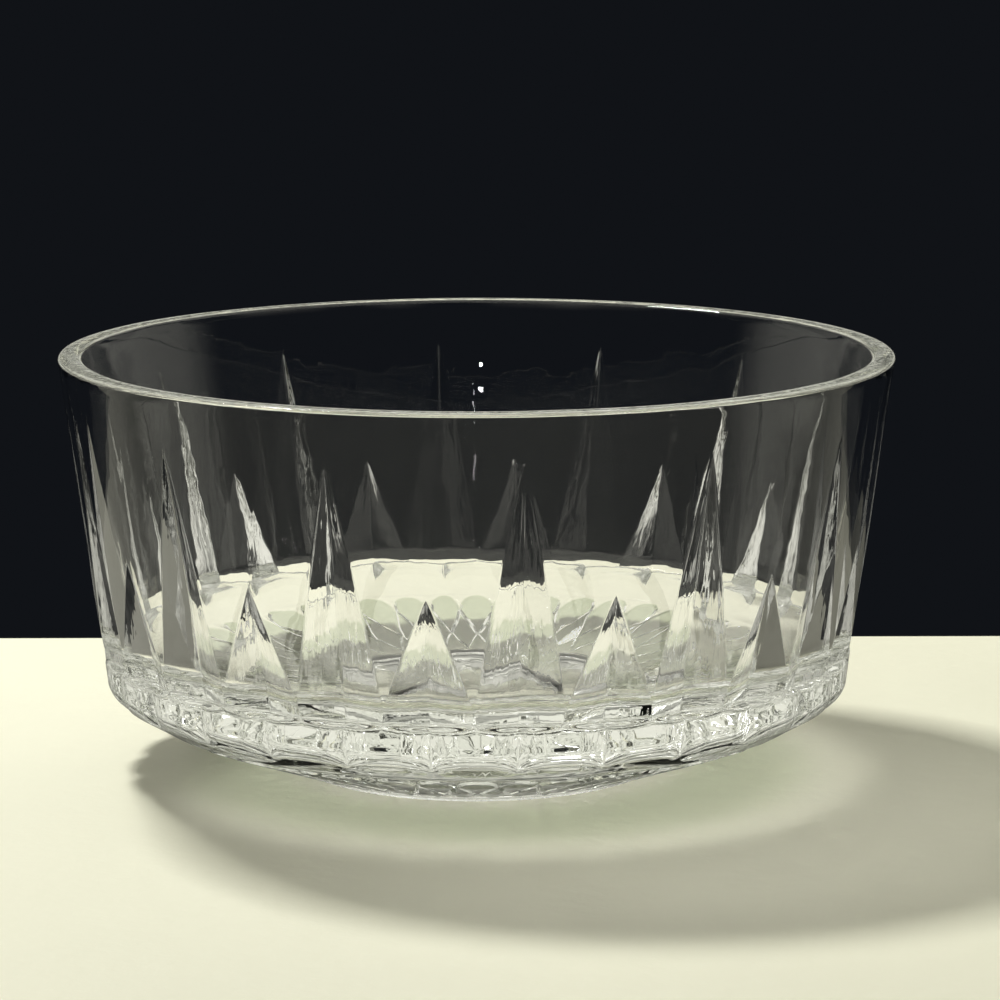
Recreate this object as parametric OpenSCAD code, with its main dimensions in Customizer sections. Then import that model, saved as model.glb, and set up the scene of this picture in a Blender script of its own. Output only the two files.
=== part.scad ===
// Round serving bowl of thick clear glass.
// A straight flared wall with a flat lip, a ring of long and short mitre cuts that meet in
// ridges above the heel, a heel band notched into pillows, and under it a base that slopes in to
// a small foot, with a lattice of diamonds pressed into the slope. Heights are given from the
// bottom of the heel, and the bowl is then raised by base_drop: the origin is the middle of the
// foot, on the surface the bowl stands on.

/* [Overall] */
// Outer diameter at the rim
rim_d = 228.6; // [180:0.2:300]
// Height from the bottom of the heel to the top of the lip
bowl_h = 95; // [90:1:130]

/* [Wall and floor] */
// Thickness of the wall at the lip
rim_wall = 6.5; // [5:0.1:8]
// Radius of the two edges of the lip
lip_edge_r = 1.4; // [0.8:0.1:2.4]
// Thickness of the wall just above the floor
foot_wall = 7.5; // [6:0.1:10]
// Height of the inner floor at its edge
floor_h = 16; // [13:0.5:22]
// Lean of the dished floor at its edge
dish_lean = 15; // [8:0.5:18]
// Radius of the curve between the floor and the wall inside
well_r = 6; // [3:0.5:12]

/* [Heel and base] */
// Outer diameter at the top of the heel's curve
heel_d = 205.4; // [160:0.2:220]
// Radius of the heel's curve
heel_r = 7; // [4:0.5:9]
// Height of the heel band, where the cuts end
heel_band_h = 11.5; // [10:0.5:15]
// Lean of the base where the heel's curve runs into it
heel_lean = 28; // [20:1:34]
// Drop from the heel to the surface the bowl stands on
base_drop = 19.5; // [16:0.5:24]
// Outer diameter of the foot
foot_d = 102; // [96:1:108]
// Width of the flat ring that the bowl stands on
foot_ring_w = 4.5; // [3:0.1:8]
// Height of that ring below the sloping base
foot_h = 1.2; // [1:0.1:2]
// Depth of the hollow inside the ring
foot_hollow = 1.9; // [1.4:0.1:3]

/* [Mitre cuts] */
// Number of cuts round the bowl, long and short in turn
cut_count = 28; // [20:2:36]
// Height at which the long cuts run out to a point
long_tip_z = 82; // [60:1:86]
// Height at which the short cuts run out to a point
short_tip_z = 47; // [34:1:56]
// Height at which neighbouring cuts meet in a ridge
ridge_z = 17.5; // [16:0.5:24]
// Depth of each cut at that height
cut_depth = 4.2; // [2.4:0.1:4.8]
// Turn of the first long cut from the front
cut_turn = 6; // [0:0.1:12]

/* [Heel notches] */
// Depth of each notch at the top of the heel band
notch_depth = 2.2; // [1:0.1:3]
// Opening of each notch, from side to side
notch_angle = 104; // [80:2:120]
// Lean of the notches inward toward the foot
notch_lean = 12; // [6:1:16]

/* [Lattice of the base] */
// Number of grooves that sweep each way
lattice_count = 48; // [24:4:56]
// Radius of the arcs that the grooves follow
lattice_arc_r = 144.5; // [130:0.5:200]
// Distance from the middle of the heel's curve to the tops of the lattice's scallops
lattice_inset = 4.7; // [4:0.1:8]
// Drop of the base at those tops
lattice_drop = 3.8; // [3:0.1:5]
// Distance from those tops to where the outermost grooves cross
scallop_h = 10.5; // [6:0.5:14]
// Width of the grooves between the diamonds
groove_w = 1.1; // [0.6:0.1:1.6]
// Height of the diamonds above the grooves
diamond_h = 0.9; // [0.4:0.1:1]
// Rows of diamonds from the edge inward
diamond_rows = 2; // [1:1:2]

/* [Hidden] */
$fn = 128;

// Steps in each rounded corner of the section, and in each scallop of the lattice
lip_steps = 6;
heel_steps = 8;
well_steps = 8;
dish_steps = 8;
scallop_steps = 8;
// How far cutters run past the glass
overrun = 2;
// How far the hollow's edge leans in
hollow_draft = 0.5;

rim_r = rim_d / 2;
heel_top_r = heel_d / 2;
heel_mid_r = heel_top_r - heel_r;
lip_z = bowl_h - lip_edge_r;
foot_r = foot_d / 2;
lattice_r = heel_mid_r - lattice_inset;
hollow_r = foot_r - foot_ring_w;
base_end_z = foot_h - base_drop;
base_slope = atan((base_end_z + lattice_drop) / (foot_r - lattice_r));
half_pitch = 180 / cut_count;

// Outer radius of the wall at height z, before any cut
function wall_r(z) = heel_top_r + (rim_r - heel_top_r) * (z - heel_r) / (lip_z - heel_r);

// Inner radius of the wall at height z
inner_foot_r = wall_r(floor_h) - foot_wall;
function inside_r(z) =
    inner_foot_r + (rim_r - rim_wall - inner_foot_r) * (z - floor_h) / (lip_z - floor_h);

// Points of an arc about c, from angle a0 to a1
function arc_pts(c, r, a0, a1, steps) =
    [for (i = [0:steps]) let (a = a0 + (a1 - a0) * i / steps) [c[0] + r * cos(a), c[1] + r * sin(a)]];

// Lean of the inside wall, and the middle of the well's curve
inside_lean = atan((rim_r - rim_wall - inner_foot_r) / (lip_z - floor_h));
well_mid = [inside_r(floor_h + well_r) - well_r / cos(inside_lean), floor_h + well_r];

// Edge of the dished floor, and its height at radius r
dish_r = well_mid[0] + well_r * sin(dish_lean);
function dish_z(r) =
    well_mid[1] - well_r * cos(dish_lean) - tan(dish_lean) * dish_r / 2 * (1 - pow(r / dish_r, 2));

// Half section of the uncut bowl
section_pts = concat(
    [[0, foot_hollow - base_drop], [hollow_r - hollow_draft, foot_hollow - base_drop],
        [hollow_r, -base_drop], [foot_r, -base_drop], [foot_r, base_end_z], [lattice_r, -lattice_drop]],
    arc_pts([heel_mid_r, heel_r], heel_r, heel_lean - 90, 0, heel_steps),
    arc_pts([rim_r - lip_edge_r, lip_z], lip_edge_r, 0, 90, lip_steps),
    arc_pts([rim_r - rim_wall + lip_edge_r, lip_z], lip_edge_r, 90, 180, lip_steps),
    arc_pts(well_mid, well_r, -inside_lean, dish_lean - 90, well_steps),
    [for (i = [1:dish_steps]) let (r = dish_r * (1 - i / dish_steps)) [r, dish_z(r)]]);

// Opening of a cut: its two faces reach a ridge at ridge_z when the cuts are one pitch apart
ridge_half_w = wall_r(ridge_z) * sin(half_pitch);
ridge_sag = wall_r(ridge_z) * (1 - cos(half_pitch));
cut_slope = ridge_half_w / (cut_depth - ridge_sag);
cut_reach = cut_depth + overrun;

// Radii at which the sweeping grooves cross, from the edge inward
cross_r = lattice_r - scallop_h;
function row_r(k) =
    2 * lattice_arc_r * sin(asin(cross_r / (2 * lattice_arc_r)) - k * 180 / lattice_count);

// Corners of a diamond on +X, from radius r_in to r_out with its sides at r_mid, drawn in by half a groove
function diamond_pts(r_in, r_mid, r_out) =
    let (side_y = r_mid * sin(180 / lattice_count), lean = atan(2 * side_y / (r_out - r_in)))
    let (tip_cut = groove_w / 2 / sin(lean), side_cut = groove_w / 2 / cos(lean))
    [[r_in + tip_cut, 0], [r_mid, side_cut - side_y], [r_out - tip_cut, 0], [r_mid, side_y - side_cut]];

// Corners of an outermost diamond, whose outer half is a round scallop
function scallop_pts() =
    let (pts = diamond_pts(row_r(1), cross_r, 2 * cross_r - row_r(1)))
    concat([pts[0]],
        [for (i = [0:scallop_steps])
            let (a = 180 * i / scallop_steps)
            [cross_r + (scallop_h - groove_w) * sin(a), pts[1][1] * cos(a)]]);

// One wedge that opens outward from a line, from the line's top end down by len
module wedge(slope, reach, len, above) {
    translate([0, 0, -len])
        linear_extrude(height = len + above)
            polygon([[0, 0], [reach, reach * slope], [reach, -reach * slope]]);
}

// One mitre cut with its tip at tip_z, in the plane of +X
module mitre_cut(tip_z) {
    tip_r = wall_r(tip_z);
    low_r = wall_r(ridge_z) - cut_depth;
    lean = atan((tip_r - low_r) / (tip_z - ridge_z));
    translate([tip_r, 0, tip_z])
        rotate([0, lean, 0])
            wedge(cut_slope, cut_reach, (tip_z - heel_band_h) / cos(lean), overrun);
}

// One notch of the heel band, in the plane of +X
module heel_notch() {
    translate([wall_r(heel_band_h) - notch_depth, 0, heel_band_h])
        rotate([0, notch_lean, 0])
            wedge(tan(notch_angle / 2), notch_depth + heel_r + overrun,
                (heel_band_h + overrun) / cos(notch_lean), overrun / 2);
}

// One diamond's outline on +X, ended short of the foot
module diamond(k) {
    intersection() {
        polygon(k == 0 ? scallop_pts() : diamond_pts(row_r(k + 1), row_r(k), row_r(k - 1)));
        translate([foot_r + groove_w, -cross_r])
            square([cross_r, 2 * cross_r]);
    }
}

// All the diamonds, laid on the slope of the base
module lattice() {
    for (k = [0:diamond_rows - 1])
        for (i = [0:lattice_count - 1])
            rotate([0, 0, (i + (k % 2) / 2) * 360 / lattice_count])
                translate([foot_r, 0, base_end_z])
                    rotate([0, -base_slope, 0])
                        scale([1 / cos(base_slope), 1, 1])
                            translate([-foot_r, 0, -diamond_h])
                                linear_extrude(height = diamond_h + overrun)
                                    diamond(k);
}

module bowl() {
    color([0.88, 0.95, 0.93, 0.55])
        translate([0, 0, base_drop]) {
            difference() {
                rotate_extrude()
                    polygon(section_pts);
                rotate([0, 0, cut_turn - 90])
                    for (i = [0:cut_count - 1])
                        rotate([0, 0, i * 2 * half_pitch]) {
                            mitre_cut(i % 2 == 0 ? long_tip_z : short_tip_z);
                            heel_notch();
                        }
            }
            rotate([0, 0, 90])
                lattice();
        }
}

bowl();
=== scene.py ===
import math

import bpy
import numpy as np
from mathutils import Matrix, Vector


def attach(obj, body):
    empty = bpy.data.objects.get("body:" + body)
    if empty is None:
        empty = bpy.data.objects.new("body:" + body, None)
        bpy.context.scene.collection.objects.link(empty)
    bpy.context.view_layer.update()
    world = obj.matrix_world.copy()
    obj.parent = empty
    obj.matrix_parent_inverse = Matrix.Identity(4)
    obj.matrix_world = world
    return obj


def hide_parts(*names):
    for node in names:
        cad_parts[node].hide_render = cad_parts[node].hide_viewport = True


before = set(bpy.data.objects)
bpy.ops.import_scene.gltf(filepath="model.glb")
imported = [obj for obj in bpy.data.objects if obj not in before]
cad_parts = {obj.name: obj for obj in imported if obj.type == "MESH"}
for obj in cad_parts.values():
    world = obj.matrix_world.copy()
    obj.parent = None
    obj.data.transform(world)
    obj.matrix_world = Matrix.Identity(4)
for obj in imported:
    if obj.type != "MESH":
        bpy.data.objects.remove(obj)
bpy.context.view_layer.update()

mm = 0.001


# Small helpers

def clamp(value):
    return min(max(value, 0), 1)


def meshPiece(name, points, faces, flatFaces=()):
    mesh = bpy.data.meshes.new(name)
    mesh.from_pydata([tuple(p) for p in points], [], [tuple(f) for f in faces])
    smooth = np.ones(len(faces), bool)
    smooth[list(flatFaces)] = False
    mesh.polygons.foreach_set("use_smooth", smooth)
    mesh.validate()
    mesh.update()
    piece = bpy.data.objects.new(name, mesh)
    bpy.context.scene.collection.objects.link(piece)
    return piece


class ShaderTree:
    # adds nodes to one node tree; a value is a number or the output of another node

    def __init__(self, tree):
        self.nodes, self.links = tree.nodes, tree.links
        self.nodes.clear()

    def add(self, kind):
        # kind is the node's type without the word ShaderNode
        return self.nodes.new("ShaderNode" + kind)

    def feed(self, socket, value):
        if isinstance(value, bpy.types.NodeSocket):
            self.links.new(value, socket)
        else:
            socket.default_value = value

    def maths(self, operation, first, second, clamped=False):
        node = self.add("Math")
        node.operation, node.use_clamp = operation, clamped
        self.feed(node.inputs[0], first)
        self.feed(node.inputs[1], second)
        return node.outputs[0]

    def spread(self, value, fromLow, fromHigh, toLow=0.0, toHigh=1.0):
        # a smooth step from one range to another
        node = self.add("MapRange")
        node.interpolation_type = "SMOOTHSTEP"
        for socket, number in zip(node.inputs, (value, fromLow, fromHigh, toLow, toHigh)):
            self.feed(socket, number)
        return node.outputs[0]

    def noise(self, place, scale, detail, distortion=0.0):
        node = self.add("TexNoise")
        self.feed(node.inputs["Vector"], place)
        self.feed(node.inputs["Scale"], scale)
        self.feed(node.inputs["Detail"], detail)
        self.feed(node.inputs["Distortion"], distortion)
        return node.outputs[0]

    def mix(self, share, first, second):
        node = self.add("Mix")
        node.data_type = "RGBA"
        self.feed(node.inputs["Factor"], share)
        self.feed(node.inputs["A"], first)
        self.feed(node.inputs["B"], second)
        return node.outputs["Result"]

    def bump(self, height, distance):
        node = self.add("Bump")
        self.feed(node.inputs["Height"], height)
        self.feed(node.inputs["Distance"], distance)
        return node.outputs[0]


def newMaterial(name):
    material = bpy.data.materials.new(name)
    material.use_nodes = True
    tree = ShaderTree(material.node_tree)
    return material, tree, tree.add("OutputMaterial")


# The bowl, in millimetres, with heights from the bottom of the heel

bowlShape = {
    "height": 95.0,
    "rimRadius": 114.26,
    "rimWall": 6.5,             # thickness of the wall at the lip
    "lipEdge": 1.1,             # round of the lip's two edges
    "lipCrown": 0.12,           # rise of the lip between them
    "heelTopRadius": 102.7,
    "heelRadius": 7.0,          # round of the heel's curve
    "heelLean": 28.0,           # degrees, where the heel runs into the sloping base
    "drop": 19.5,               # from the heel to the table
    "footRadius": 51.0,
    "footHeight": 1.2,          # of the foot ring below the slope
    "footRingWidth": 4.5,
    "hollowDepth": 1.9,         # inside the foot ring
    "floorHeight": 16.0,        # at the floor's edge
    "dishLean": 15.0,           # degrees, where the dished floor starts
    "footWall": 7.5,            # wall just above the floor
    "wellRadius": 6.0,
}

cutShape = {
    "cuts": 28,                 # long and short in turn
    "longTip": 82.0,            # heights where the cuts run out to a point
    "shortTip": 47.0,
    "ridgeHeight": 17.5,        # where neighbouring cuts meet
    "depth": 4.2,               # at that height
    "scoop": 0.72,              # under 1, a cut is steeper toward its tip
    "turn": 6.0,                # degrees from the front to a long cut
    "edgeSoftness": 0.035,      # fire polish on the edges
    "valleySoftness": 0.25,
    "ridgeBevel": 0.3,
    "tipLift": 0.3,             # how fast a cut's surface leaves the wall above its tip
    "sideLift": 0.6,            # and beside it
    "narrowest": 0.25,          # strip of columns along a cut's side
    "edgeNear": 0.18,           # support columns beside every edge
    "edgeFar": 0.55,
    "nearShare": 0.1,           # and the most of a strip that they take
    "farShare": 0.25,
    "panelFarShare": 0.22,
}

heelShape = {
    "bandTop": 11.9,            # middle of the little shelf over the band
    "shelfDrop": 0.75,          # half the height that the shelf takes
    "notchDepth": 2.2,
    "notchLean": 12.0,          # degrees
    "notchFoot": 0.3,           # what is left of a notch under the heel
    "pillowPower": 4.0,         # higher is a narrower notch
    "arch": 0.9,                # rise of the band's top edge between notches
    "archReach": 2.4,           # how far above and below it the rise is felt
    "archPower": 1.5,
}

latticeShape = {
    "count": 48,                # scallops round the sloping base
    "arcRadius": 144.5,
    "edgeRadius": 91.0,
    "edgeDrop": 3.8,            # from the heel to that edge
    "plainRings": (96.2, 93.8, 91.9),       # radii between the heel's curve and that edge
    "scallopHeight": 10.5,
    "grooveWidth": 1.1,
    "fullness": 0.9,            # under 1, a scallop has fuller shoulders
    "scallopSteps": 8,
    "proud": 0.6,               # diamonds stand this far out from the grooves
    "crown": 0.10,              # and bulge this much more in the middle
    "plateau": 0.84,            # share of a diamond inside its bevelled sides
    "scallopCentre": 1.2,       # outward from where the grooves cross
    "diamondCentre": 2.0,
    "footGap": 0.5,             # from the innermost tips to the foot
}

rippleShape = {
    "wall": 0.030,              # slow waviness of the pressed wall
    "inside": 0.034,
    "floor": 0.030,
    "lip": 0.09,
    "seeds": {"wall": 11, "inside": 23, "floor": 31, "lip": 47},
    "swells": (3, 5, 8, 13, 19, 27, 34),    # counts round the bowl
    "tall": (0.03, 0.12),       # radians per millimetre of height
    "lean": (-0.05, 0.05),
    "heelFade": 10.0,           # the wall's swells fade over these heights
    "lipFade": 6.0,
    "insideFade": 8.0,
}

ringCounts = {
    "shelf": 9,                 # down the little shelf over the heel band
    "heelCurve": 11,
    "lipCurve": 10,             # round each edge of the lip
    "insideWall": 30,
    "wellCurve": 10,
}

lipHeight = bowlShape["height"] - bowlShape["lipEdge"]
heelMiddle = bowlShape["heelTopRadius"] - bowlShape["heelRadius"]
hollowRadius = bowlShape["footRadius"] - bowlShape["footRingWidth"]
heelTurn = math.radians(90 - bowlShape["heelLean"])
halfSector = 2 * math.pi / cutShape["cuts"]        # from a long valley to a short one
firstCut = math.radians(cutShape["turn"] - 90)


def coneRadius(z):
    share = (z - bowlShape["heelRadius"]) / (lipHeight - bowlShape["heelRadius"])
    return bowlShape["heelTopRadius"] + (bowlShape["rimRadius"] - bowlShape["heelTopRadius"]) * share


insideFoot = coneRadius(bowlShape["floorHeight"]) - bowlShape["footWall"]


def insideRadius(z):
    share = (z - bowlShape["floorHeight"]) / (lipHeight - bowlShape["floorHeight"])
    return insideFoot + (bowlShape["rimRadius"] - bowlShape["rimWall"] - insideFoot) * share


# how far the wall leans out from upright, outside and inside
outerLean = math.atan2(bowlShape["rimRadius"] - bowlShape["heelTopRadius"],
                       lipHeight - bowlShape["heelRadius"])
innerLean = math.atan2(insideRadius(lipHeight) - insideFoot, lipHeight - bowlShape["floorHeight"])


def heelProfile(z):
    below = np.clip(bowlShape["heelRadius"] - z, 0, bowlShape["heelRadius"])
    curve = heelMiddle + math.sqrt(max(bowlShape["heelRadius"] ** 2 - below ** 2, 0))
    return curve if z < bowlShape["heelRadius"] else coneRadius(z)


# A cut is a V that widens evenly from its tip down to the ridge, and is scooped in faster at first
ridgeRadius = coneRadius(cutShape["ridgeHeight"])
leastEdge = 0.002                                  # radians, so that a cut keeps a slope at its tip
halvings = 40                                      # of the search for the ridge between two cuts


def cutShare(z, tip):
    return (tip - z) / (tip - cutShape["ridgeHeight"])


def edgeAngle(z, tip):
    return max(cutShare(z, tip), 0.0) * halfSector / 2


def valleyRadius(z, tip):
    share = max(cutShare(z, tip), 0.0)
    deep = min(share, 1) ** cutShape["scoop"] + cutShape["scoop"] * max(share - 1, 0)
    return coneRadius(z) - cutShape["depth"] * deep


def facetRadius(z, away, tip):
    if z >= tip:
        return coneRadius(z) + cutShape["tipLift"] * (z - tip) + cutShape["sideLift"] * coneRadius(z) * away
    edge = max(edgeAngle(z, tip), leastEdge)
    slope = (math.cos(edge) - valleyRadius(z, tip) / coneRadius(z)) / math.sin(edge)
    soft = np.sqrt(away ** 2 + (cutShape["valleySoftness"] / ridgeRadius) ** 2)
    return valleyRadius(z, tip) / (np.cos(soft) - slope * np.sin(soft))


def ridgeAngle(z):
    low, high = 0.0, halfSector
    for _ in range(halvings):
        middle = (low + high) / 2
        longSide = facetRadius(z, middle, cutShape["longTip"])
        shortSide = facetRadius(z, halfSector - middle, cutShape["shortTip"])
        low, high = (middle, high) if longSide < shortSide else (low, middle)
    return (low + high) / 2


sideColumns, panelColumns = 8, 9
halfColumns = 2 * sideColumns + panelColumns - 1       # steps from a long valley to a short one
columnCount = halfColumns * cutShape["cuts"]


def cutWindow(z, tip):
    # width of the band of columns that follows one side of a cut, spread wide again over its tip
    radius = coneRadius(z)
    narrow = cutShape["narrowest"]
    if z >= tip:
        spread = (sideColumns - 1) / halfColumns * halfSector * radius
        share = (z - tip) / (lipHeight - tip)
        return narrow + (spread - narrow) * share
    return max(edgeAngle(z, tip) * radius, narrow)


def columnAngles(z):
    radius = coneRadius(z)
    whole = halfSector * radius
    longSide, shortSide = cutWindow(z, cutShape["longTip"]), cutWindow(z, cutShape["shortTip"])
    if longSide + shortSide > whole - cutShape["ridgeBevel"]:
        ridge = ridgeAngle(z) * radius
        longSide = ridge - cutShape["ridgeBevel"] / 2
        shortSide = whole - ridge - cutShape["ridgeBevel"] / 2

    def side(width):
        near = min(cutShape["edgeNear"], cutShape["nearShare"] * width)
        far = min(cutShape["edgeFar"], cutShape["farShare"] * width)
        inner = np.linspace(far, width - far, sideColumns - 4)
        return np.concatenate([[0, near], inner, [width - near, width]])

    panel = whole - longSide - shortSide
    near = min(cutShape["edgeNear"], cutShape["nearShare"] * panel)
    far = min(cutShape["edgeFar"], cutShape["panelFarShare"] * panel)
    middle = np.concatenate([[near], np.linspace(far, panel - far, panelColumns - 2), [panel - near]])
    return np.concatenate([side(longSide), longSide + middle, (whole - side(shortSide))[::-1]]) / radius


def cutRadius(z, away):
    softness = cutShape["edgeSoftness"]
    surfaces = [np.full_like(away, coneRadius(z)),
                facetRadius(z, away, cutShape["longTip"]),
                facetRadius(z, halfSector - away, cutShape["shortTip"])]
    least = np.min(surfaces, axis=0)
    return least - softness * np.log(sum(np.exp((least - s) / softness) for s in surfaces))


def valleyShare(away):
    # 0 on a valley, 1 halfway to the next
    return np.clip(np.minimum(away, halfSector - away) / (halfSector / 2), 0, 1)


def pillowRadius(z, away):
    band = heelShape["bandTop"]
    lean = math.tan(math.radians(heelShape["notchLean"]))
    notch = coneRadius(band) - heelShape["notchDepth"] - (band - z) * lean
    depth = max(heelProfile(z) - notch, heelShape["notchFoot"])
    return heelProfile(z) - depth * (1 - valleyShare(away)) ** heelShape["pillowPower"]


def wholeTurn(halfValues, asAngles=False):
    # a half sector, its mirror image, and so on round the bowl
    back = halfValues[::-1][1:]
    if asAngles:
        back = 2 * halfSector - back
    sector = np.concatenate([halfValues, back])[:-1]
    advance = 2 * halfSector if asAngles else 0
    return np.concatenate([sector + i * advance for i in range(cutShape["cuts"] // 2)])


def ripple(angle, z, surface):
    # slow swells that a pressed surface keeps
    draw = np.random.default_rng(rippleShape["seeds"][surface])
    total = np.zeros_like(angle)
    for turns in rippleShape["swells"]:
        phase = draw.uniform(0, 2 * math.pi)
        tall = draw.uniform(*rippleShape["tall"])
        lean = draw.uniform(*rippleShape["lean"])
        size = draw.uniform(0.5, 1.0) / (1 + turns / 16)
        total += size * np.sin(turns * angle + phase + lean * z) * np.cos(tall * z + phase * 1.7)
    return total


def ring(radii, z, angles):
    heights = np.broadcast_to(z, angles.shape)
    return np.stack([radii * np.cos(angles), radii * np.sin(angles), heights], axis=1)


def outerRings():
    rings = []
    wallTop = lipHeight - bowlShape["lipEdge"] * math.sin(outerLean)
    shelfTop = heelShape["bandTop"] + heelShape["shelfDrop"]
    shelfFoot = heelShape["bandTop"] - heelShape["shelfDrop"]
    # closer together at the tips of the cuts, at the ridge and on the shelf
    heights = np.concatenate([
        [wallTop, 92.6, 91.4, 90.0, 88.4, 86.6, 85.0, 83.8, 83.0, 82.4, 81.8, 81.2, 80.4, 79.2, 77.6],
        np.arange(75.6, 51.0, -2.2),
        [50.4, 49.2, 48.4, 47.8, 47.2, 46.6, 46.0, 45.2, 44.0, 42.4],
        np.arange(40.4, 21.0, -1.9),
        [20.2, 19.0, 18.3, 17.8, 17.4, 17.0, 16.4, 15.6, 14.8, 14.0, 13.4],
        np.linspace(shelfTop, shelfFoot, ringCounts["shelf"]),
        [10.4, 9.4, 8.2, 7.0]])
    heelTurns = np.linspace(0, heelTurn, ringCounts["heelCurve"])[1:]
    heights = np.concatenate([heights, bowlShape["heelRadius"] * (1 - np.sin(heelTurns))])
    for z in heights:
        halfAngles = columnAngles(max(z, shelfFoot))
        if z >= shelfTop:
            radii = cutRadius(z, halfAngles)
        else:
            share = np.clip((shelfTop - z) / (shelfTop - shelfFoot), 0, 1)
            share = share * share * (3 - 2 * share)
            above, below = cutRadius(max(z, shelfFoot), halfAngles), pillowRadius(z, halfAngles)
            radii = (1 - share) * above + share * below
        rise = heelShape["arch"] * np.exp(-((z - heelShape["bandTop"]) / heelShape["archReach"]) ** 2)
        rise = rise * valleyShare(halfAngles) ** heelShape["archPower"]
        angles = wholeTurn(halfAngles, asAngles=True) + firstCut
        fade = clamp((z - 2) / rippleShape["heelFade"]) * clamp((lipHeight + 1 - z) / rippleShape["lipFade"])
        swell = rippleShape["wall"] * fade * ripple(angles, z, "wall")
        rings.append(ring(wholeTurn(radii) + swell, z + wholeTurn(rise), angles))
    return rings


def lipRings(angles):
    edge, crown = bowlShape["lipEdge"], bowlShape["lipCrown"]
    outerMiddle = bowlShape["rimRadius"] - edge
    innerMiddle = bowlShape["rimRadius"] - bowlShape["rimWall"] + edge

    def onEdge(middle, turn):
        return middle + edge * math.cos(turn), lipHeight + (edge - crown * (turn > 0)) * math.sin(turn)

    upOutside = np.linspace(-outerLean, math.pi / 2, ringCounts["lipCurve"])[1:]
    downInside = np.linspace(math.pi / 2, math.pi - innerLean, ringCounts["lipCurve"])
    profile = [onEdge(outerMiddle, turn) for turn in upOutside]
    for share in (0.12, 0.3, 0.5, 0.7, 0.88):
        rise = crown * (1 - (2 * share - 1) ** 2)
        radius = outerMiddle + (innerMiddle - outerMiddle) * share
        profile.append((radius, bowlShape["height"] - crown + rise))
    profile += [onEdge(innerMiddle, turn) for turn in downInside]
    rings = []
    for radius, z in profile:
        rise = clamp((z - lipHeight) / edge)
        inward = (bowlShape["rimRadius"] - radius) / bowlShape["rimWall"]
        wave = rippleShape["lip"] * ripple(angles, 0, "lip")
        drop = rise * rippleShape["lip"] * (1 + np.sin(wave * 9)) / 2
        rings.append(ring(radius + wave * inward * rise, z - drop, angles))
    return rings


def insideRings(angles):
    # the wall from the lip down, the well's curve and the dished floor
    top = lipHeight + (bowlShape["lipEdge"] - bowlShape["lipCrown"]) * math.sin(innerLean)
    wellTop = bowlShape["floorHeight"] + bowlShape["wellRadius"]
    wellStart = wellTop - bowlShape["wellRadius"] * math.sin(innerLean)
    wellMiddle = insideRadius(wellTop) - bowlShape["wellRadius"] / math.cos(innerLean)
    dishLean = math.radians(bowlShape["dishLean"])
    rings = []
    for z in np.linspace(top, wellStart, ringCounts["insideWall"])[1:]:
        fade = min((top - z) / rippleShape["insideFade"], 1)
        swell = rippleShape["inside"] * fade * ripple(angles, z, "inside")
        rings.append(ring(insideRadius(z) + swell, z, angles))
    for turn in np.linspace(-innerLean, dishLean - math.pi / 2, ringCounts["wellCurve"])[1:]:
        radius = wellMiddle + bowlShape["wellRadius"] * math.cos(turn)
        z = wellTop + bowlShape["wellRadius"] * math.sin(turn)
        swell = rippleShape["inside"] * ripple(angles, z, "inside")
        rings.append(ring(radius + swell * math.cos(turn), z + swell * math.sin(turn) * 0.5, angles))
    edgeRadius, edgeHeight = radius, z
    deep = math.tan(dishLean) * edgeRadius / 2
    for share in (0.965, 0.92, 0.86, 0.78, 0.69, 0.59, 0.48, 0.37, 0.26, 0.16, 0.08, 0.03):
        swell = rippleShape["floor"] * ripple(angles, edgeRadius * share, "floor") * min(share * 3, 1)
        floor = edgeHeight - deep * (1 - share ** 2) + swell
        rings.append(ring(np.full_like(angles, edgeRadius * share), floor, angles))
    return rings, edgeHeight - deep


def rowRadius(row):
    crossing = latticeShape["edgeRadius"] - latticeShape["scallopHeight"]
    arc = 2 * latticeShape["arcRadius"]
    return arc * math.sin(math.asin(crossing / arc) - row * math.pi / latticeShape["count"])


class Weaver:
    # collects points and faces, and joins rings of any number of points

    def __init__(self):
        self.points, self.faces, self.flat = [], [], []

    def add(self, points):
        first = len(self.points)
        self.points.extend(np.asarray(points).tolist())
        return list(range(first, len(self.points)))

    def band(self, upper, lower):
        # two rings with the same number of points, upper then lower as seen from outside
        count = len(upper)
        for i in range(count):
            j = (i + 1) % count
            self.faces.append((upper[i], lower[i], lower[j], upper[j]))

    def stitch(self, upper, lower):
        # two rings with different numbers of points, joined in order of their angle
        def turns(ids):
            found = np.array([math.atan2(self.points[i][1], self.points[i][0]) for i in ids])
            start = int(np.argmin(found))
            order = [(start + k) % len(ids) for k in range(len(ids))]
            return [ids[k] for k in order], np.unwrap(found[order])
        upperIds, upperTurns = turns(upper)
        lowerIds, lowerTurns = turns(lower)
        upperIds, lowerIds = upperIds + upperIds[:1], lowerIds + lowerIds[:1]
        upperTurns = np.append(upperTurns, upperTurns[0] + 2 * math.pi)
        lowerTurns = np.append(lowerTurns, lowerTurns[0] + 2 * math.pi)
        i = j = 0
        while i < len(upper) or j < len(lower):
            if j == len(lower) or (i < len(upper) and upperTurns[i + 1] <= lowerTurns[j + 1]):
                self.faces.append((upperIds[i], lowerIds[j], upperIds[i + 1]))
                i += 1
            else:
                self.faces.append((upperIds[i], lowerIds[j], lowerIds[j + 1]))
                j += 1


def baseHeight(radius):
    # the slope of the base, at the bottom of its grooves
    foot = bowlShape["footHeight"] - bowlShape["drop"]
    share = (radius - bowlShape["footRadius"]) / (latticeShape["edgeRadius"] - bowlShape["footRadius"])
    return foot + (-latticeShape["edgeDrop"] - foot) * share


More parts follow.
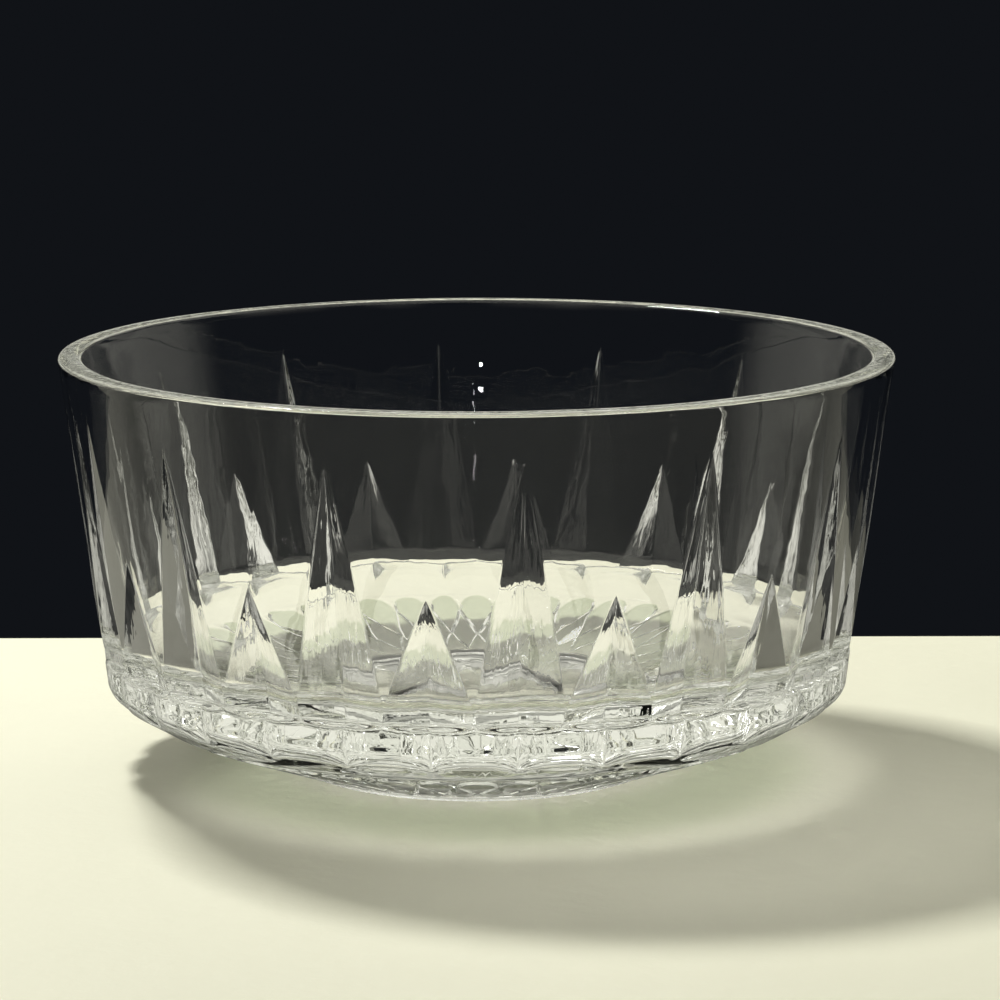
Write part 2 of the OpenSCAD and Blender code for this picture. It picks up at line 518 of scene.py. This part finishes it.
def weaveBase(weaver, heelRing):
    count, step = latticeShape["count"], 2 * math.pi / latticeShape["count"]
    steps = latticeShape["scallopSteps"]
    evenAngles = np.arange(count * steps) * step / steps + math.pi / 2
    last = None

    def down(edges):
        # plain rings, each joined to the one before it
        nonlocal last
        for radius, z in edges:
            ids = weaver.add(ring(np.full_like(evenAngles, radius), z, evenAngles))
            if last is None:
                weaver.stitch(heelRing, ids)
            else:
                weaver.band(last, ids)
            last = ids

    def place(radius, turn, proud=0.0):
        angle = math.pi / 2 + turn
        return [radius * math.cos(angle), radius * math.sin(angle), baseHeight(radius) - proud]

    # from the heel's curve to the lattice's edge
    edge = latticeShape["edgeRadius"]
    heelFoot = bowlShape["heelRadius"] * (1 - math.sin(heelTurn))
    slant = (heelFoot - baseHeight(edge)) / (heelProfile(heelFoot) - edge)
    down([(radius, baseHeight(edge) + slant * (radius - edge)) for radius in latticeShape["plainRings"]])
    down([(edge + 0.2, baseHeight(edge) + 0.02), (edge - 0.4, baseHeight(edge - 0.4))])

    def diamond(radius, turn, outline):
        # bevelled sides up to a plateau that is crowned a little
        centre = place(radius, turn, latticeShape["proud"] + latticeShape["crown"])
        upper = []
        for i in outline:
            x, y = [centre[k] + (weaver.points[i][k] - centre[k]) * latticeShape["plateau"] for k in (0, 1)]
            upper.append([x, y, baseHeight(math.hypot(x, y)) - latticeShape["proud"]])
        ids = weaver.add(upper)
        middle = weaver.add([centre])[0]
        for k in range(len(outline)):
            j = (k + 1) % len(outline)
            weaver.flat += [len(weaver.faces), len(weaver.faces) + 1]
            weaver.faces += [(ids[k], ids[j], outline[j], outline[k]), (middle, ids[j], ids[k])]

    # the outermost row: a round scallop outside, a point inside
    crossing = rowRadius(0)
    middle, half = crossing * math.cos(step / 2), crossing * math.sin(step / 2)
    reach = latticeShape["scallopHeight"] - latticeShape["grooveWidth"]
    arcs = []
    for i in range(count):
        arc = []
        for turn in [math.pi * k / steps for k in range(steps)]:
            along = middle + reach * math.sin(turn) ** latticeShape["fullness"]
            across = half * math.cos(turn)
            arc.append(place(math.hypot(along, across), i * step - math.atan2(across, along)))
        arcs.append(weaver.add(arc))
    weaver.stitch(last, sum(arcs, []))
    tips = weaver.add([place(rowRadius(1), i * step) for i in range(count)])
    for i in range(count):
        outline = arcs[i] + [arcs[(i + 1) % count][0], tips[i]]
        diamond(crossing + latticeShape["scallopCentre"], i * step, outline)

    # the next row: whole on its outer side, and running out on the foot
    foot, floor = bowlShape["footRadius"], -bowlShape["drop"]
    inner = weaver.add([place(foot + latticeShape["footGap"], (i + 0.5) * step) for i in range(count)])
    for i in range(count):
        after = (i + 1) % count
        outline = [arcs[after][0], tips[after], inner[i], tips[i]]
        diamond(rowRadius(1) + latticeShape["diamondCentre"], (i + 0.5) * step, outline)

    # the foot ring with its rounded edges, and the hollow inside it
    ceiling = floor + bowlShape["hollowDepth"]
    last = weaver.add(ring(np.full_like(evenAngles, foot + 0.12), baseHeight(foot), evenAngles))
    weaver.stitch([x for pair in zip(tips, inner) for x in pair], last)
    down([(foot + 0.02, baseHeight(foot) - 0.14), (foot - 0.02, floor + 0.3), (foot - 0.14, floor + 0.08),
          (foot - 0.4, floor), (hollowRadius + 0.3, floor), (hollowRadius + 0.08, floor + 0.1),
          (hollowRadius - 0.1, floor + 0.6), (hollowRadius - 0.5, ceiling - 0.15),
          (hollowRadius - 0.9, ceiling)])
    down([(hollowRadius * share, ceiling) for share in (0.86, 0.66, 0.44, 0.22, 0.07)])
    hub = weaver.add([[0, 0, ceiling]])[0]
    for k in range(len(last)):
        weaver.faces.append((hub, last[(k + 1) % len(last)], last[k]))


def buildBowl():
    weaver = Weaver()
    outer = outerRings()
    wall = [weaver.add(points) for points in outer]
    for upper, lower in zip(wall, wall[1:]):
        weaver.band(upper, lower)
    weaveBase(weaver, wall[-1])
    # the lip keeps the wall's columns, and the inside has half as many, evenly spaced
    topAngles = np.arctan2(outer[0][:, 1], outer[0][:, 0])
    last = wall[0]
    for points in lipRings(topAngles):
        ids = weaver.add(points)
        weaver.band(ids, last)
        last = ids
    evenAngles = np.arange(columnCount // 2) * 4 * math.pi / columnCount
    inside, floorMiddle = insideRings(evenAngles)
    for k, points in enumerate(inside):
        ids = weaver.add(points)
        if k == 0:
            weaver.stitch(ids, last)
        else:
            weaver.band(ids, last)
        last = ids
    centre = weaver.add([[0, 0, floorMiddle]])[0]
    for i in range(len(last)):
        weaver.faces.append((centre, last[i], last[(i + 1) % len(last)]))

    return (np.array(weaver.points) + (0, 0, bowlShape["drop"])) * mm, weaver.faces, weaver.flat


points, faces, flatFaces = buildBowl()
bowl = meshPiece("glassBowl", points, faces, flatFaces)


markShape = {
    "start": 0.12,              # depth under the plain wall, where the marks begin
    "fade": 0.5,                # and how much deeper they are at full strength
    "deepest": 5.6,             # the inside of the bowl lies deeper than this
    "aboveBand": 1.0,
}


def markCuts(piece, points):
    # 1 where a cut went into the wall, for the fine marks that cutting and polishing leave there
    radii, heights = np.hypot(points[:, 0], points[:, 1]) / mm, points[:, 2] / mm - bowlShape["drop"]
    below = coneRadius(heights) - radii
    cut = np.clip((below - markShape["start"]) / markShape["fade"], 0, 1)
    cut = cut * (below < markShape["deepest"]) * (heights > heelShape["bandTop"] + markShape["aboveBand"])
    mark = piece.data.attributes.new("cutShare", "FLOAT", "POINT")
    mark.data.foreach_set("value", cut.astype(np.float32))


markCuts(bowl, points)
print("bowl mesh:", len(points), "points,", len(faces), "faces")
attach(bowl, "root")
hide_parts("bowl")


# Clear glass, faintly green where it is thick

glassLook = {
    "index": 1.52,
    "absorption": (0.88, 0.91, 0.86),
    "density": 2.4,             # per metre
    "slowWaves": 38.0,          # noise scales, per metre
    "fineWaves": 170.0,
    "fineShare": 0.12,          # of the slow waves' height
    "waveHeight": 0.00012,      # metres
    "polish": (0.002, 0.020),   # clean glass to a faint haze of handling
    "hazeScale": 26.0,
    "hazeRange": (0.42, 0.72),
    "cutMarks": 420.0,          # fine lines along the cuts, per metre across them
    "cutMarkStretch": 0.05,     # under 1, they run down the cut
    "cutMarkHeight": 0.00012,
    "cutHaze": 0.02,
    "cutHazeRange": (0.45, 0.75),
    "footWear": 0.32,           # rubbed ring that the bowl stands on
    "footWearHeights": (0.00021, 0.0007),   # where it starts to fade and where it ends
    "scratchScale": 900.0,
    "scratchRange": (0.35, 0.65),
    "scratchLeast": 0.25,
}


def glassMaterial():
    material, tree, output = newMaterial("clearGlass")
    glass, absorption = tree.add("BsdfPrincipled"), tree.add("VolumeAbsorption")
    tree.feed(glass.inputs["Base Color"], (1, 1, 1, 1))
    tree.feed(glass.inputs["Transmission Weight"], 1.0)
    tree.feed(glass.inputs["IOR"], glassLook["index"])
    tree.feed(absorption.inputs["Color"], (*glassLook["absorption"], 1))
    tree.feed(absorption.inputs["Density"], glassLook["density"])
    place = tree.add("TexCoord").outputs["Object"]

    # waviness that the mould and the fire polish leave, and fine lines along the cuts
    slow = tree.noise(place, glassLook["slowWaves"], 1.5, 0.3)
    fine = tree.noise(place, glassLook["fineWaves"], 1.0)
    cut, squash = tree.add("Attribute"), tree.add("Mapping")
    cut.attribute_name = "cutShare"
    tree.feed(squash.inputs["Vector"], place)
    tree.feed(squash.inputs["Scale"], (1, 1, glassLook["cutMarkStretch"]))
    lines = tree.noise(squash.outputs[0], glassLook["cutMarks"], 2.0)
    marks = tree.maths("MULTIPLY", lines, cut.outputs["Fac"])
    depth = glassLook["cutMarkHeight"] / glassLook["waveHeight"]
    height = tree.maths("ADD", slow, tree.maths("MULTIPLY", fine, glassLook["fineShare"]))
    height = tree.maths("ADD", height, tree.maths("MULTIPLY", marks, depth))
    tree.feed(glass.inputs["Normal"], tree.bump(height, glassLook["waveHeight"]))

    # a faint haze in patches, fine scratches on the foot ring and streaks in the cuts
    parts = tree.add("SeparateXYZ")
    tree.feed(parts.inputs[0], place)
    patches = tree.noise(place, glassLook["hazeScale"], 3.0, 0.6)
    haze = tree.spread(patches, *glassLook["hazeRange"], *glassLook["polish"])
    foot = tree.spread(parts.outputs["Z"], *glassLook["footWearHeights"], 1.0, 0.0)
    scratches = tree.noise(place, glassLook["scratchScale"], 4.0)
    scratches = tree.spread(scratches, *glassLook["scratchRange"], glassLook["scratchLeast"], 1.0)
    worn = tree.maths("MULTIPLY", tree.maths("MULTIPLY", foot, scratches), glassLook["footWear"])
    streaks = tree.maths("MULTIPLY", tree.spread(marks, *glassLook["cutHazeRange"]), glassLook["cutHaze"])
    roughness = tree.maths("ADD", tree.maths("ADD", haze, worn), streaks)
    tree.feed(glass.inputs["Roughness"], roughness)

    tree.feed(output.inputs["Surface"], glass.outputs["BSDF"])
    tree.feed(output.inputs["Volume"], absorption.outputs["Volume"])
    return material


bowl.data.materials.append(glassMaterial())
print("glass done")


# Table, backdrop and lights

tableLook = {
    "halfWidth": 0.75,
    "back": 0.158,
    "front": -0.80,
    "thickness": 0.022,
    "colour": (0.815, 0.80, 0.61),
    "roughness": 0.6,
    "mirrored": 0.12,           # painted shade: the table's colour is darkened to this share where the glass mirrors it
    "paintedShadeFrom": (0.125, 0.165),     # distances from the bowl's axis, in metres, over which that painted shade comes in for rays that reach the table by way of the glass
    "mottle": 0.05,             # uneven paint
    "mottleScale": 9.0,
    "grainScale": 160.0,
    "grainHeight": 0.0003,
}

backdropLook = {
    "colour": (0.0055, 0.0065, 0.0085),
    "ambient": (1.0, 1.0, 1.0),
    "ambientLow": 0.10,         # soft light from the sides and from above
    "ambientHigh": 0.34,
    "roomColour": (1.0, 0.99, 0.87),
    "room": 0.9,                # what the glass mirrors of the room, over the backdrop and in front
    "roomFront": 0.18,          # sines of the heights where it starts
    "roomBack": 0.14,
    "roomTurn": (-0.3, 0.3),    # from front to back, between these parts of a direction along Y
    "roomRise": 0.22,
    "horizon": 0.46,            # pale band that shows through the thick floor, level with the table
    "horizonTurn": (-0.1, 0.25),
    "horizonLow": -0.070,
    "horizonHigh": 0.13,
    "horizonSoft": 0.03,
}


def tableMaterial():
    material, tree, output = newMaterial("paleTable")
    paint, path = tree.add("BsdfPrincipled"), tree.add("LightPath")
    tree.feed(paint.inputs["Roughness"], tableLook["roughness"])
    place = tree.add("TexCoord").outputs["Object"]

    def shade(share):
        return (*[c * share for c in tableLook["colour"]], 1)

    patches = tree.noise(place, tableLook["mottleScale"], 5.0)
    uneven = tree.mix(patches, shade(1 - tableLook["mottle"]), shade(1 + tableLook["mottle"]))
    # painted shade: where the glass mirrors the table, and past these distances where the table is seen by
    # way of the glass, its colour is darkened, so that a bright table does not veil the glass
    reach = tree.add("VectorMath")
    reach.operation = "LENGTH"
    tree.feed(reach.inputs[0], place)
    far = tree.spread(reach.outputs["Value"], *tableLook["paintedShadeFrom"])
    turned = tree.maths("MULTIPLY", path.outputs["Glossy Depth"], far, clamped=True)
    paintedShade = tree.maths("MAXIMUM", turned, path.outputs["Is Reflection Ray"])
    tree.feed(paint.inputs["Base Color"], tree.mix(paintedShade, uneven, shade(tableLook["mirrored"])))
    grain = tree.noise(place, tableLook["grainScale"], 3.0)
    tree.feed(paint.inputs["Normal"], tree.bump(grain, tableLook["grainHeight"]))
    tree.feed(output.inputs["Surface"], paint.outputs["BSDF"])
    return material


def buildTable():
    w, y0, y1, t = tableLook["halfWidth"], tableLook["front"], tableLook["back"], tableLook["thickness"]
    corners = [(x, y, z) for z in (0, -t) for x, y in ((-w, y0), (w, y0), (w, y1), (-w, y1))]
    sides = [(0, 1, 2, 3), (7, 6, 5, 4), (4, 5, 1, 0), (5, 6, 2, 1), (6, 7, 3, 2), (7, 4, 0, 3)]
    table = meshPiece("tableTop", corners, sides, range(len(sides)))
    table.data.materials.append(tableMaterial())


def buildWorld():
    # dark where it is looked at, pale where the glass mirrors the room, and soft light for the table
    look = backdropLook
    world = bpy.data.worlds.new("studio")
    bpy.context.scene.world = world
    world.use_nodes = True
    tree = ShaderTree(world.node_tree)
    output, path, parts = tree.add("OutputWorld"), tree.add("LightPath"), tree.add("SeparateXYZ")
    tree.feed(parts.inputs[0], tree.add("TexCoord").outputs["Generated"])
    back, up = parts.outputs["Y"], parts.outputs["Z"]

    def background(colour, strength):
        node = tree.add("Background")
        tree.feed(node.inputs["Color"], (*colour, 1))
        tree.feed(node.inputs["Strength"], strength)
        return node.outputs[0]

    start = tree.spread(back, *look["roomTurn"], look["roomFront"], look["roomBack"])
    room = tree.spread(tree.maths("SUBTRACT", up, start), 0.0, look["roomRise"], 0.0, look["room"])
    low, high, soft = look["horizonLow"], look["horizonHigh"], look["horizonSoft"]
    horizon = tree.maths("MULTIPLY", tree.spread(up, low, low + soft),
                         tree.spread(up, high - soft, high, look["horizon"], 0.0))
    horizon = tree.maths("MULTIPLY", horizon, tree.spread(back, *look["horizonTurn"]))
    hidden = tree.maths("SUBTRACT", 1, path.outputs["Is Camera Ray"])
    mirrored = tree.maths("MULTIPLY", tree.maths("ADD", room, horizon), hidden)
    shown, chosen = tree.add("AddShader"), tree.add("MixShader")
    tree.feed(shown.inputs[0], background(look["colour"], 1))
    tree.feed(shown.inputs[1], background(look["roomColour"], mirrored))
    ambient = tree.spread(up, 0.0, 1.0, look["ambientLow"], look["ambientHigh"])
    tree.feed(chosen.inputs[0], tree.maths("GREATER_THAN", path.outputs["Diffuse Depth"], 0.5))
    tree.feed(chosen.inputs[1], shown.outputs[0])
    tree.feed(chosen.inputs[2], background(look["ambient"], ambient))
    tree.feed(output.inputs["Surface"], chosen.outputs[0])


# name, place, what it is turned to, size and watts
topLamp = ("topLight", (-0.40, 0.50, 1.08), (0, 0, 0.03), (0.20, 0.16), 13.8)
# two small lamps behind the camera, that only the glass glints in
sparkleLamps = [
    ("highSparkle", (-0.03, -1.35, 0.30), (0, 0, 0.08), (0.03, 0.006), 0.03),
    ("lowSparkle", (0.02, -1.35, 0.215), (0, 0, 0.08), (0.008, 0.022), 0.03),
]


def areaLight(name, place, aim, size, watts):
    light = bpy.data.lights.new(name, "AREA")
    light.shape = "RECTANGLE"
    light.size, light.size_y = size
    light.energy = watts
    lamp = bpy.data.objects.new(name, light)
    bpy.context.scene.collection.objects.link(lamp)
    lamp.visible_camera = False
    lamp.location = place
    lamp.rotation_euler = (Vector(aim) - Vector(place)).to_track_quat("-Z", "Y").to_euler()
    return lamp


buildTable()
buildWorld()
areaLight(*topLamp)
for lamp in sparkleLamps:
    areaLight(*lamp).visible_diffuse = False
print("table, backdrop and lamps done")


# Camera, as the photograph looks at the bowl

cameraLook = {
    "place": (0, -1.086472, 0.266935),
    "down": 0.177,              # radians below level
    "turn": -0.006,
    "roll": 0.001,
    "lens": 144.0,
    "sensor": 36.0,
    "clip": (0.05, 20.0),
}


def buildCamera():
    data = bpy.data.cameras.new("photoCamera")
    data.lens, data.sensor_width = cameraLook["lens"], cameraLook["sensor"]
    data.clip_start, data.clip_end = cameraLook["clip"]
    camera = bpy.data.objects.new("photoCamera", data)
    bpy.context.scene.collection.objects.link(camera)
    camera.location = cameraLook["place"]
    camera.rotation_euler = (math.pi / 2 - cameraLook["down"], cameraLook["roll"], cameraLook["turn"])
    bpy.context.scene.camera = camera


buildCamera()
print("camera done")

scene = bpy.context.scene
scene.view_settings.view_transform = "Standard"
scene.cycles.max_bounces = 32
scene.cycles.transmission_bounces = 32
scene.cycles.glossy_bounces = 16
scene.cycles.diffuse_bounces = 4
scene.cycles.volume_bounces = 0
